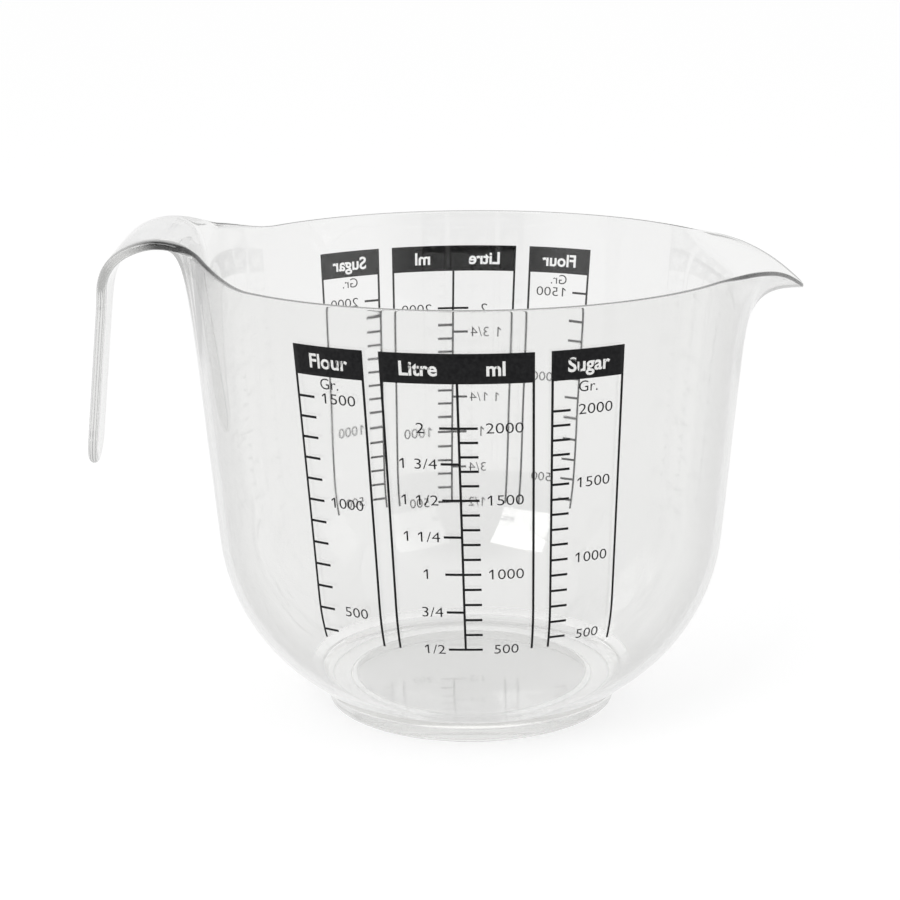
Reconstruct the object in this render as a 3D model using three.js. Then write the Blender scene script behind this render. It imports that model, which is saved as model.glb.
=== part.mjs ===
// Measuring jug: one clear moulding, a bowl on a foot ring whose rim runs out into a pour lip
// and an open strap handle, with six scales printed in black on the outside of the wall.
// Millimetres and degrees, +Z up, foot on Z = 0, pour lip along +X, handle along -X.
import * as THREE from 'three';

// Bowl
const RIM_HEIGHT = 148.7;
const RIM_RADIUS = 90.9;
const WALL = 2.2;
const WALL_DRAFT = 5.1;
const BOWL_ROUND = 63.5;
const CONE_ANGLE = 51;

// Foot ring and floor
const FOOT_HEIGHT = 8.4;
const FOOT_RADIUS = 47.6;
const FOOT_DRAFT = 18;
const FOOT_ROUND = 1;
const FOOT_RING_WIDTH = 7;
const LEDGE_WIDTH = 3;
const LEDGE_ROUND = 2;
const RECESS_DEPTH = 4.4;
const FLOOR = 2.8;
const FLOOR_ROUND = 3;

// Rim blend: above the shoulder the wall sweeps out into the lip and the handle
const SHOULDER_DROP = 36.7;
const BEND_TIGHTNESS = 0.9;

// Pour lip
const LIP_OVERHANG = 16.9;
const LIP_TIP_RADIUS = 12.7;
const LIP_DROP = 10.3;
const LIP_DROP_LENGTH = 22.7;

// Strap handle
const STRAP = 3.2;
const STRAP_ROOT_WIDTH = 50.4;
const STRAP_TONGUE_WIDTH = 19.6;
const STRAP_TAPER_START = 6;
const STRAP_TAPER_LENGTH = 29;
const HANDLE_FILLET = 15;
const HANDLE_RISE = 9.6;
const HANDLE_RISE_LENGTH = 31;
const HANDLE_BEND = 20;
const HANDLE_LEAN = 6;
const HANDLE_STRAIGHT = 58.5;

// Printed scales: places on the wall, where the print leans a little to the right on its way down
const INK = 0.15;
const INK_GAP = 0.1;
const LINE = 0.75;
const TICK = 5.3;
const HEADER_DROP = 12.7;
const HEADER_HEIGHT = 9.1;
const MIDDLE_PANEL = 29.1;
const SIDE_PANEL = 14.9;
const PANEL_SPACING = 3.15;
const PRINT_SHIFT = 3;
const PRINT_LEAN = 1.3;
const FRONT = 270;
const BACK = 90;

// Amounts on the scales in millilitres and grams; a weight scale starts a little off the empty bowl
const VOLUME = { density: 1, start: 0, least: 500, most: 2000, step: 100 };
const LITRE = { density: 1, start: 0, least: 500, most: 2000, step: 250 };
const FLOUR = { density: 0.685, start: -33, least: 400, most: 1500, step: 100 };
const SUGAR = { density: 0.973, start: 42, least: 500, most: 2000, step: 100 };

// Facets
const FACET_SAG = 0.12;
const SAME_POINT = 1e-4;
const BLEND_FACETS = 6;
const EDGE_FACETS = 4;
const LIP_TIP_FACETS = 4;
const LIP_SIDE_FACETS = 7;
const RIM_FACETS = 20;
const FILLET_FACETS = 6;
const HALF_STRAP_FACETS = 4;
const BEND_FACETS = 10;
const STRAIGHT_FACETS = 4;
const TONGUE_FACETS = 5;

const { degToRad, lerp, smoothstep } = THREE.MathUtils;
const quarterTurn = Math.PI / 2;
const slope = (angle) => Math.tan(degToRad(angle));
const spot = (r, z) => new THREE.Vector2(r, z);
const shares = (count) => Array.from({ length: count }, (_, index) => (index + 1) / count);
const onCircle = (radius, angle) => spot(radius * Math.cos(angle), radius * Math.sin(angle));

// Steps in which an arc stays within the facet sag
function arcSteps(radius, sweep) {
  const step = 2 * Math.acos(1 - Math.min(1, FACET_SAG / radius));
  return Math.max(2, Math.ceil(Math.abs(sweep) / step));
}

// Line through a list of corners, each turned into an arc where it has a radius
function roundedLine(corners) {
  return corners.flatMap(({ at, round }, index) => {
    if (!round) {
      return [at];
    }
    const before = corners[index - 1].at.clone().sub(at).normalize();
    const after = corners[index + 1].at.clone().sub(at).normalize();
    const halfAngle = Math.acos(before.dot(after)) / 2;
    const reach = round / Math.tan(halfAngle);
    const centre = before.clone().add(after).setLength(round / Math.sin(halfAngle)).add(at);
    const first = before.multiplyScalar(reach).add(at);
    const last = after.multiplyScalar(reach).add(at);
    const from = first.clone().sub(centre);
    const to = last.clone().sub(centre);
    const sweep = Math.atan2(from.cross(to), from.dot(to));
    const turned = shares(arcSteps(round, sweep)).map((share) => (
      first.clone().rotateAround(centre, sweep * share)
    ));
    return [first, ...turned];
  });
}

// Wall and base cone of the bowl, each set in from the outside by a depth
const footTop = FOOT_RADIUS + FOOT_HEIGHT * slope(FOOT_DRAFT);
const ledge = footTop + LEDGE_WIDTH;
const wallRadius = (z, depth) => (
  RIM_RADIUS - (RIM_HEIGHT - z) * slope(WALL_DRAFT) - depth / Math.cos(degToRad(WALL_DRAFT))
);
const coneRadius = (z, depth) => (
  ledge + (z - FOOT_HEIGHT) * slope(CONE_ANGLE) - depth / Math.cos(degToRad(CONE_ANGLE))
);
const cornerHeight = (depth) => (
  (wallRadius(0, depth) - coneRadius(0, depth)) / (slope(CONE_ANGLE) - slope(WALL_DRAFT))
);

// The bowl's round takes no more of the cone than the round at the ledge leaves
const outsideCorner = cornerHeight(0);
const insideCorner = cornerHeight(WALL);
const coneLength = (outsideCorner - FOOT_HEIGHT) / Math.cos(degToRad(CONE_ANGLE));
const freeCone = coneLength - LEDGE_ROUND * slope((90 - CONE_ANGLE) / 2);
const bowlRound = Math.min(BOWL_ROUND, freeCone / slope((CONE_ANGLE - WALL_DRAFT) / 2));

// Section of the bowl: under the foot, up the outside, and up the inside from the floor
const recess = FOOT_RADIUS - FOOT_RING_WIDTH;
const floorHeight = RECESS_DEPTH + FLOOR;
const footLine = roundedLine([
  { at: spot(0, RECESS_DEPTH) },
  { at: spot(recess - RECESS_DEPTH * slope(FOOT_DRAFT), RECESS_DEPTH) },
  { at: spot(recess, 0) },
  { at: spot(FOOT_RADIUS, 0), round: FOOT_ROUND },
  { at: spot(footTop, FOOT_HEIGHT) },
]);
const outsideLine = roundedLine([
  { at: spot(footTop, FOOT_HEIGHT) },
  { at: spot(ledge, FOOT_HEIGHT), round: LEDGE_ROUND },
  { at: spot(wallRadius(outsideCorner, 0), outsideCorner), round: bowlRound },
  { at: spot(RIM_RADIUS, RIM_HEIGHT) },
]);
const insideLine = roundedLine([
  { at: spot(0, floorHeight) },
  { at: spot(coneRadius(floorHeight, WALL), floorHeight), round: FLOOR_ROUND },
  { at: spot(wallRadius(insideCorner, WALL), insideCorner), round: bowlRound - WALL },
  { at: spot(wallRadius(RIM_HEIGHT, WALL), RIM_HEIGHT) },
]);

// Middle line of the rim in plan, from the lip's tip round to the middle of the handle's crest
const rimCircle = wallRadius(RIM_HEIGHT - WALL / 2, WALL / 2);
const lipTip = RIM_RADIUS + LIP_OVERHANG - WALL / 2;
const lipCentre = lipTip - LIP_TIP_RADIUS;
const lipAngle = Math.acos((rimCircle - LIP_TIP_RADIUS) / lipCentre);
const rootHalf = (STRAP_ROOT_WIDTH - STRAP) / 2;
const filletSide = rootHalf + HANDLE_FILLET;
const crest = Math.sqrt((rimCircle + HANDLE_FILLET) ** 2 - filletSide ** 2);
const filletAngle = Math.atan2(filletSide, crest);
const lipSide = new THREE.LineCurve(
  onCircle(LIP_TIP_RADIUS, lipAngle).add(spot(lipCentre, 0)),
  onCircle(rimCircle, lipAngle),
);
const arc = (x, y, radius, from, to) => (
  new THREE.EllipseCurve(x, y, radius, radius, from, to, to < from)
);
const halfRim = [
  arc(lipCentre, 0, LIP_TIP_RADIUS, 0, lipAngle).getPoints(LIP_TIP_FACETS),
  lipSide.getPoints(LIP_SIDE_FACETS).slice(1),
  arc(0, 0, rimCircle, lipAngle, Math.PI - filletAngle).getPoints(RIM_FACETS).slice(1),
  arc(-crest, filletSide, HANDLE_FILLET, -filletAngle, -quarterTurn).getPoints(FILLET_FACETS).slice(1),
  new THREE.LineCurve(spot(-crest, rootHalf), spot(-crest, 0)).getPoints(HALF_STRAP_FACETS).slice(1),
].flat();
const otherHalf = halfRim.slice(1, -1).reverse().map(({ x, y }) => spot(x, -y));
const rimPlan = [...halfRim, ...otherHalf];
const rootStart = halfRim.length - 1 - HALF_STRAP_FACETS;
const rootEnd = rootStart + 2 * HALF_STRAP_FACETS;

// Rim over a point of the plan: the lip dips as it runs out, the other side climbs to the handle
function rimOver({ x, y }) {
  const out = Math.max(0, x - lipTip + LIP_DROP_LENGTH) / LIP_DROP_LENGTH;
  const climb = smoothstep(-x, crest - HANDLE_RISE_LENGTH, crest);
  const thickness = lerp(WALL, STRAP, climb);
  const height = RIM_HEIGHT - thickness / 2 - LIP_DROP * out ** 2 + HANDLE_RISE * climb;
  return { azimuth: Math.atan2(y, x), end: spot(Math.hypot(x, y), height), thickness };
}

// Section of the rim blend in its upright plane: up the wall, then round a knee to the rim
const shoulder = RIM_HEIGHT - SHOULDER_DROP;
function blendSection({ end, thickness }) {
  const start = spot(wallRadius(shoulder, WALL / 2), shoulder);
  const knee = spot(wallRadius(end.y, WALL / 2), end.y);
  const middle = new THREE.CubicBezierCurve(
    start,
    start.clone().lerp(knee, BEND_TIGHTNESS),
    end.clone().lerp(knee, BEND_TIGHTNESS),
    end,
  );
  return [0, ...shares(BLEND_FACETS)].map((share) => {
    const along = middle.getTangent(share);
    const out = spot(along.y, -along.x).multiplyScalar(lerp(WALL, thickness, share) / 2);
    const at = middle.getPoint(share);
    return { outside: at.clone().add(out), inside: at.clone().sub(out) };
  });
}

// Triangle mesh that keeps one copy of each point and leaves out triangles closed up to a line
function meshBuilder() {
  const positions = [];
  const triangles = [];
  const known = new Map();
  const triangle = (a, b, c) => {
    if (a !== b && b !== c && c !== a) {
      triangles.push(a, b, c);
    }
  };
  return {
    point({ x, y, z }) {
      const key = [x, y, z].map((value) => Math.round(value / SAME_POINT)).join(' ');
      if (!known.has(key)) {
        known.set(key, positions.push(x, y, z) / 3 - 1);
      }
      return known.get(key);
    },
    at: (index) => new THREE.Vector3().fromArray(positions, 3 * index),
    quad(a, b, c, d) {
      triangle(a, b, c);
      triangle(a, c, d);
    },
    geometry() {
      const geometry = new THREE.BufferGeometry();
      geometry.setAttribute('position', new THREE.Float32BufferAttribute(positions, 3));
      geometry.setIndex(triangles);
      geometry.computeVertexNormals();
      return geometry;
    },
  };
}

const upright = (azimuth, { x, y }) => (
  new THREE.Vector3(x * Math.cos(azimuth), x * Math.sin(azimuth), y)
);

// The strap leaves the crest level, bends down and runs straight to a rounded tongue
const crestHeight = RIM_HEIGHT + HANDLE_RISE - STRAP / 2;
const bendTurn = quarterTurn - degToRad(HANDLE_LEAN);
const bendLength = HANDLE_BEND * bendTurn;
const tongueHalf = (STRAP_TONGUE_WIDTH - STRAP) / 2;
const tongueStart = bendLength + HANDLE_STRAIGHT - STRAP_TONGUE_WIDTH / 2;
const strapRows = [
  ...shares(BEND_FACETS).map((share) => ({ along: bendLength * share, turn: 0 })),
  ...shares(STRAIGHT_FACETS).map((share) => ({ along: lerp(bendLength, tongueStart, share), turn: 0 })),
  ...shares(TONGUE_FACETS).map((share) => ({ along: tongueStart, turn: quarterTurn * share })),
];
const strapHalf = (along) => (
  lerp(rootHalf, tongueHalf, smoothstep(along, STRAP_TAPER_START, STRAP_TAPER_START + STRAP_TAPER_LENGTH))
);

// Point of the strap by its distance along and across, and its height over the middle of the sheet
function strapPoint(along, across, height) {
  const angle = Math.min(bendTurn, along / HANDLE_BEND);
  const run = Math.max(0, along - bendLength);
  const radius = HANDLE_BEND + height;
  return new THREE.Vector3(
    -crest - radius * Math.sin(angle) - run * Math.cos(angle),
    across,
    crestHeight - HANDLE_BEND + radius * Math.cos(angle) - run * Math.sin(angle),
  );
}

// The sheet's edge is a half round, taken from the outside face over to the inside one
const edgeTurns = shares(EDGE_FACETS).slice(0, -1).map((share) => Math.PI * share);

function jugBody() {
  const mesh = meshBuilder();
  const below = ({ y }) => y < shoulder;
  const columns = rimPlan.map((plan) => {
    const rim = rimOver(plan);
    const blend = blendSection(rim);
    const place = (section) => mesh.point(upright(rim.azimuth, section));
    const bowlOutside = [...footLine, ...outsideLine.slice(1).filter(below)];
    const bowlInside = insideLine.filter(below);
    return {
      outside: [...bowlOutside, ...blend.map((row) => row.outside)].map(place),
      inside: [...bowlInside, ...blend.map((row) => row.inside)].reverse().map(place),
    };
  });

  // Half round along the rim, square to its run
  const middleOf = (column) => mesh.at(column.outside.at(-1)).lerp(mesh.at(column.inside[0]), 0.5);
  columns.forEach((column, index) => {
    const from = index === rootEnd ? column : columns.at(index - 1);
    const to = index === rootStart ? column : columns[(index + 1) % columns.length];
    const run = middleOf(to).sub(middleOf(from));
    const outward = mesh.at(column.outside.at(-1)).sub(middleOf(column));
    const over = outward.clone().cross(run).setLength(outward.length());
    column.edge = edgeTurns.map((turn) => mesh.point(
      middleOf(column).addScaledVector(outward, Math.cos(turn)).addScaledVector(over, Math.sin(turn)),
    ));
  });

  // Skin between neighbouring columns, open along the stretch of rim where the strap leaves
  const skin = (a, b) => a.slice(1).forEach((_, row) => mesh.quad(a[row], b[row], b[row + 1], a[row + 1]));
  const overRim = ({ outside, edge, inside }) => [outside.at(-1), ...edge, inside[0]];
  columns.forEach((column, index) => {
    const beside = columns[(index + 1) % columns.length];
    skin(column.outside, beside.outside);
    skin(column.inside, beside.inside);
    if (index < rootStart || index >= rootEnd) {
      skin(overRim(column), overRim(beside));
    }
  });

  // Strap: that stretch of rim drawn out along the handle and closed round the tongue's tip
  const root = columns.slice(rootStart, rootEnd + 1);
  const around = ({ outside, inside, edges }) => [
    ...outside, ...edges[1], ...inside.toReversed(), ...edges[0].toReversed(), outside[0],
  ];
  let last = around({
    outside: root.map((column) => column.outside.at(-1)),
    inside: root.map((column) => column.inside[0]),
    edges: [root[0].edge, root.at(-1).edge],
  });
  strapRows.forEach(({ along, turn }) => {
    const half = strapHalf(along) * Math.cos(turn);
    const ahead = along + tongueHalf * Math.sin(turn);
    const face = (height) => root.map((_, index) => (
      mesh.point(strapPoint(ahead, half * (1 - index / HALF_STRAP_FACETS), height))
    ));
    const edge = (side) => edgeTurns.map((edgeTurn) => {
      const bulge = STRAP / 2 * Math.sin(edgeTurn);
      const across = side * (half + bulge * Math.cos(turn));
      const height = -STRAP / 2 * Math.cos(edgeTurn);
      return mesh.point(strapPoint(ahead + bulge * Math.sin(turn), across, height));
    });
    const next = around({
      outside: face(-STRAP / 2),
      inside: face(STRAP / 2),
      edges: [edge(1), edge(-1)],
    });
    skin(next, last);
    last = next;
  });
  return mesh.geometry();
}

// Volume that the bowl holds up to a height, as a stack of cut cones, in millilitres
const CUBIC_MM_PER_ML = 1000;
function volumeTo(height) {
  return insideLine.slice(1).reduce((volume, high, index) => {
    const low = insideLine[index];
    const depth = Math.min(height, high.y) - low.y;
    if (depth <= 0) {
      return volume;
    }
    const radius = lerp(low.x, high.x, depth / (high.y - low.y));
    const squares = low.x ** 2 + low.x * radius + radius ** 2;
    return volume + Math.PI / 3 * depth * squares / CUBIC_MM_PER_ML;
  }, 0);
}

// Height to which a volume fills the bowl, found by halving
const HALVINGS = 40;
function levelOf(volume) {
  let low = floorHeight;
  let high = RIM_HEIGHT;
  for (let halving = 0; halving < HALVINGS; halving += 1) {
    const middle = (low + high) / 2;
    if (volumeTo(middle) < volume) {
      low = middle;
    } else {
      high = middle;
    }
  }
  return low;
}

// A scale is a list of inked fields, each between two angles and two heights on the wall
const headerTop = RIM_HEIGHT - HEADER_DROP;
const headerFoot = headerTop - HEADER_HEIGHT;
const printFoot = levelOf(VOLUME.least) - LINE / 2;
const printRadius = wallRadius(headerFoot, 0);
const lineTurn = LINE / printRadius;
const tickTurn = TICK / printRadius;
const leanTurn = (height) => slope(PRINT_LEAN) * (headerFoot - height) / printRadius;
const header = (from, to) => ({ from, to, low: headerFoot, high: headerTop });
const rail = (from) => ({ from, to: from + lineTurn, low: printFoot, high: headerFoot });

// Marks beside a rail for a range of amounts, as far as they fit between print foot and header
function marks(from, { density, start, least, most, step }) {
  const amounts = Array.from({ length: (most - least) / step + 1 }, (_, index) => least + step * index);
  return amounts
    .map((amount) => levelOf(start + amount / density))
    .filter((level) => level > printFoot && level + LINE < headerFoot)
    .map((level) => ({ from, to: from + tickTurn, low: level - LINE / 2, high: level + LINE / 2 }));
}

const middleHalf = degToRad(MIDDLE_PANEL / 2);
function volumeScale() {
  const middleRail = -lineTurn / 2;
  return [
    header(-middleHalf, middleHalf),
    rail(-middleHalf),
    rail(middleRail),
    rail(middleHalf - lineTurn),
    ...marks(middleRail - tickTurn, LITRE),
    ...marks(middleRail + lineTurn, VOLUME),
  ];
}

const sideTurn = degToRad(SIDE_PANEL);
function weightScale(from, range) {
  const to = from + sideTurn;
  return [header(from, to), rail(from), rail(to - lineTurn), ...marks(from + lineTurn, range)];
}

// Point on the outside of the wall, lifted off it along its normal
function wallSpot(height, lift) {
  const index = outsideLine.findIndex(({ y }) => y >= height);
  const low = outsideLine[index - 1];
  const run = outsideLine[index].clone().sub(low);
  const at = low.clone().addScaledVector(run, (height - low.y) / run.y);
  return at.add(spot(run.y, -run.x).setLength(lift));
}

// Rising values with repeats taken out and spans over a limit divided
function breaks(values, limit) {
  const rising = values
    .toSorted((a, b) => a - b)
    .filter((value, index, all) => index === 0 || value - all[index - 1] > SAME_POINT);
  return rising.flatMap((value, index) => {
    const span = (rising[index + 1] ?? value) - value;
    const count = Math.max(1, Math.ceil(span / limit));
    return shares(count).map((share) => value + span * (share - 1 / count));
  });
}

// Film of ink over the fields of a scale: a grid on the wall with the bare cells left out
function inkFilm(fields, centre) {
  const mesh = meshBuilder();
  const longest = 2 * Math.acos(1 - INK_GAP / 2 / RIM_RADIUS);
  const angles = breaks(fields.flatMap(({ from, to }) => [from, to]), longest);
  const creases = outsideLine.map(({ y }) => y).filter((y) => y > printFoot && y < headerTop);
  const heights = breaks([...creases, ...fields.flatMap(({ low, high }) => [low, high])], RIM_HEIGHT);
  const inked = (column, row) => {
    const angle = (angles[column] + angles[column + 1]) / 2;
    const height = (heights[row] + heights[row + 1]) / 2;
    return fields.some(({ from, to, low, high }) => (
      angle > from && angle < to && height > low && height < high
    ));
  };
  const corner = (column, row, lift) => {
    const turn = centre + angles[column] + leanTurn(heights[row]);
    return mesh.point(upright(turn, wallSpot(heights[row], lift)));
  };
  angles.forEach((_, column) => heights.forEach((__, row) => {
    if (!inked(column, row)) {
      return;
    }
    const corners = [[column, row], [column + 1, row], [column + 1, row + 1], [column, row + 1]];
    const neighbours = [[column, row - 1], [column + 1, row], [column, row + 1], [column - 1, row]];
    const under = corners.map(([across, up]) => corner(across, up, INK_GAP));
    const over = corners.map(([across, up]) => corner(across, up, INK_GAP + INK));
    mesh.quad(...over);
    mesh.quad(...under.toReversed());
    neighbours.forEach(([across, up], side) => {
      if (!inked(across, up)) {
        const next = (side + 1) % corners.length;
        mesh.quad(under[side], under[next], over[next], over[side]);
      }
    });
  }));
  return mesh.geometry();
}

// Six scales, the same three on both sides, and the jug centred over the middle of its box
const scales = {
  flour_scale: weightScale(-middleHalf - degToRad(PANEL_SPACING) - sideTurn, FLOUR),
  litre_scale: volumeScale(),
  sugar_scale: weightScale(middleHalf + degToRad(PANEL_SPACING), SUGAR),
};
const centres = {
  front: degToRad(FRONT - PRINT_SHIFT),
  back: degToRad(BACK + PRINT_SHIFT),
};
const clearPlastic = () => new THREE.MeshStandardMaterial({
  color: 0xe4e8e9,
  roughness: 0.08,
  metalness: 0,
  transparent: true,
  opacity: 0.35,
});
const blackInk = () => new THREE.MeshStandardMaterial({ color: 0x121212, roughness: 0.45, metalness: 0 });

const jug = new THREE.Group();
function addPiece(name, geometry, material) {
  const piece = new THREE.Mesh(geometry, material);
  piece.name = name;
  jug.add(piece);
}
addPiece('jug_body', jugBody(), clearPlastic());
Object.entries(centres).forEach(([side, centre]) => {
  Object.entries(scales).forEach(([scale, fields]) => {
    addPiece(`${scale}_${side}`, inkFilm(fields, centre), blackInk());
  });
});
jug.position.x = -new THREE.Box3().setFromObject(jug).getCenter(new THREE.Vector3()).x;

export default jug;
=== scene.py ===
"""Look of a clear plastic measuring jug with printed scales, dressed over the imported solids."""
from math import acos, atan2, ceil, copysign, cos, hypot, pi, radians, sin, sqrt, tan

import bmesh
import bpy
from mathutils import Matrix, Vector


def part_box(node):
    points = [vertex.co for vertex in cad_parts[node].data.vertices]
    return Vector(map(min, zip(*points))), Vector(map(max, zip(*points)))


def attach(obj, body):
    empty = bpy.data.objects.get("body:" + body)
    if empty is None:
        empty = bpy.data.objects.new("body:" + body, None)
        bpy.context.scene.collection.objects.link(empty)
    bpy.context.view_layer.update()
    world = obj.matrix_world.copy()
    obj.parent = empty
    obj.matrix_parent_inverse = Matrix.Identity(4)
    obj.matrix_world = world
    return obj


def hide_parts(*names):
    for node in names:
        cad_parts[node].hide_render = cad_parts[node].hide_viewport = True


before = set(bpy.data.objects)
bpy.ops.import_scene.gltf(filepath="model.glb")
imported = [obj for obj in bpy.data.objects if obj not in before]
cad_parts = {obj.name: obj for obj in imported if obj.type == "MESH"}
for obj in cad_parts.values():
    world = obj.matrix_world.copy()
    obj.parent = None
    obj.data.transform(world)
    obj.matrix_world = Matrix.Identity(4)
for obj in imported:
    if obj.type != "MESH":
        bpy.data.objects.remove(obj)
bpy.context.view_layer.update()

# The jug is one clear, glossy injection moulding of hard plastic, about 2 mm thick: a round bowl on a foot
# ring, whose rim is drawn out into a pour lip on one side and into a strap handle on the other. The handle
# is joined at its top alone and hangs down free. Nothing is fixed to it: the scales are printed on.
RIM_HEIGHT = 0.1487
RIM_RADIUS = 0.0909
WALL = 0.0022
WALL_DRAFT = radians(5.1)
BOWL_ROUND = 0.0635
CONE_LEAN = radians(51)
FOOT_HEIGHT = 0.0084
FOOT_RADIUS = 0.0476
FOOT_DRAFT = radians(18)
FOOT_RING_WIDTH = 0.007
LEDGE_WIDTH = 0.003
RECESS_DEPTH = 0.0044
FLOOR = 0.0028
RIM_EDGE = 0.0015
RIM_EDGE_ROUND = 0.5
SHOULDER_DROP = 0.0367
BEND_TIGHTNESS = 0.9
LIP_TIGHTNESS = 0.68
LIP_OVERHANG = 0.0169
LIP_TIP_RADIUS = 0.0127
LIP_DROP = 0.0103
LIP_DROP_LENGTH = 0.0227
LIP_SWELL = 0.0013
LIP_SAG = 0.0006
STRAP = 0.0032
STRAP_ROOT_WIDTH = 0.0504
STRAP_TONGUE_WIDTH = 0.0196
STRAP_TAPER_START = 0.006
STRAP_TAPER_LENGTH = 0.029
HANDLE_FILLET = 0.015
HANDLE_RISE = 0.0096
HANDLE_RISE_LENGTH = 0.031
HANDLE_BEND = 0.020
HANDLE_LEAN = radians(6)
HANDLE_STRAIGHT = 0.0585
SAME_SPOT = 1e-6

foot_top = FOOT_RADIUS + FOOT_HEIGHT * tan(FOOT_DRAFT)
ledge_radius = foot_top + LEDGE_WIDTH
recess_radius = FOOT_RADIUS - FOOT_RING_WIDTH
floor_height = RECESS_DEPTH + FLOOR
shoulder = RIM_HEIGHT - SHOULDER_DROP
jug_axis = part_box("jug_body")[1].x - RIM_RADIUS - LIP_OVERHANG


def wall_radius(height, depth):
    """Radius of the straight drafted wall, at a depth into its thickness."""
    return RIM_RADIUS - (RIM_HEIGHT - height) * tan(WALL_DRAFT) - depth / cos(WALL_DRAFT)


def cone_radius(height, depth):
    """Radius of the cone between the foot's ledge and the rounded bowl, at a depth into its thickness."""
    return ledge_radius + (height - FOOT_HEIGHT) * tan(CONE_LEAN) - depth / cos(CONE_LEAN)


def bowl_centre():
    """Centre of the bowl's round in the section, the same for both faces of the wall."""
    spread = tan(CONE_LEAN) - tan(WALL_DRAFT)
    corner_height = (wall_radius(0, 0) - cone_radius(0, 0)) / spread
    tangent = BOWL_ROUND * tan((CONE_LEAN - WALL_DRAFT) / 2)
    top = corner_height + tangent * cos(WALL_DRAFT)
    return wall_radius(top, 0) - BOWL_ROUND * cos(WALL_DRAFT), top + BOWL_ROUND * sin(WALL_DRAFT)


bowl_x, bowl_z = bowl_centre()


def bowl_radius(height, depth):
    """Radius of the bowl at a height: cone at the bottom, then the round, then the drafted wall."""
    round_radius = BOWL_ROUND - depth
    if height > bowl_z - round_radius * sin(WALL_DRAFT):
        return wall_radius(height, depth)
    if height < bowl_z - round_radius * sin(CONE_LEAN):
        return cone_radius(height, depth)
    return bowl_x + sqrt(round_radius ** 2 - (height - bowl_z) ** 2)


def draw_line(wire, start, radius, height):
    """Carry the section on from a vertex in a straight line, and return the line's far end."""
    grown = bmesh.ops.extrude_vert_indiv(wire, verts=[start])
    grown["verts"][0].co = Vector((radius, 0, height))
    return grown["verts"][0]


def of_kind(kind, geometry):
    """Parts of one kind, such as vertices, out of what an operator gives back."""
    return [part for part in geometry if isinstance(part, kind)]


def draw_bowl(wire, start, turn, steps):
    """Carry the section on from a vertex along the bowl's round."""
    grown = bmesh.ops.spin(wire, geom=[start], cent=(bowl_x, 0, bowl_z), axis=(0, 1, 0), angle=turn,
                           steps=steps, use_duplicate=False)
    return of_kind(bmesh.types.BMVert, grown["geom_last"])[0]


def round_corner(wire, corner, radius, segments):
    """Round a corner of the section, and return the vertices between the ends of the round."""
    one, other = (edge.other_vert(corner).co - corner.co for edge in corner.link_edges)
    cut = radius / tan(one.angle(other) / 2)
    rounded = bmesh.ops.bevel(wire, geom=[corner], offset=cut, offset_type="OFFSET", affect="VERTICES",
                              segments=segments, profile=0.5, material=-1)
    ends = {edge.other_vert(vert) for vert in rounded["verts"] for edge in vert.link_edges}
    outside = ends.difference(rounded["verts"])
    return [vert for vert in rounded["verts"]
            if not any(edge.other_vert(vert) in outside for edge in vert.link_edges)]


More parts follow.
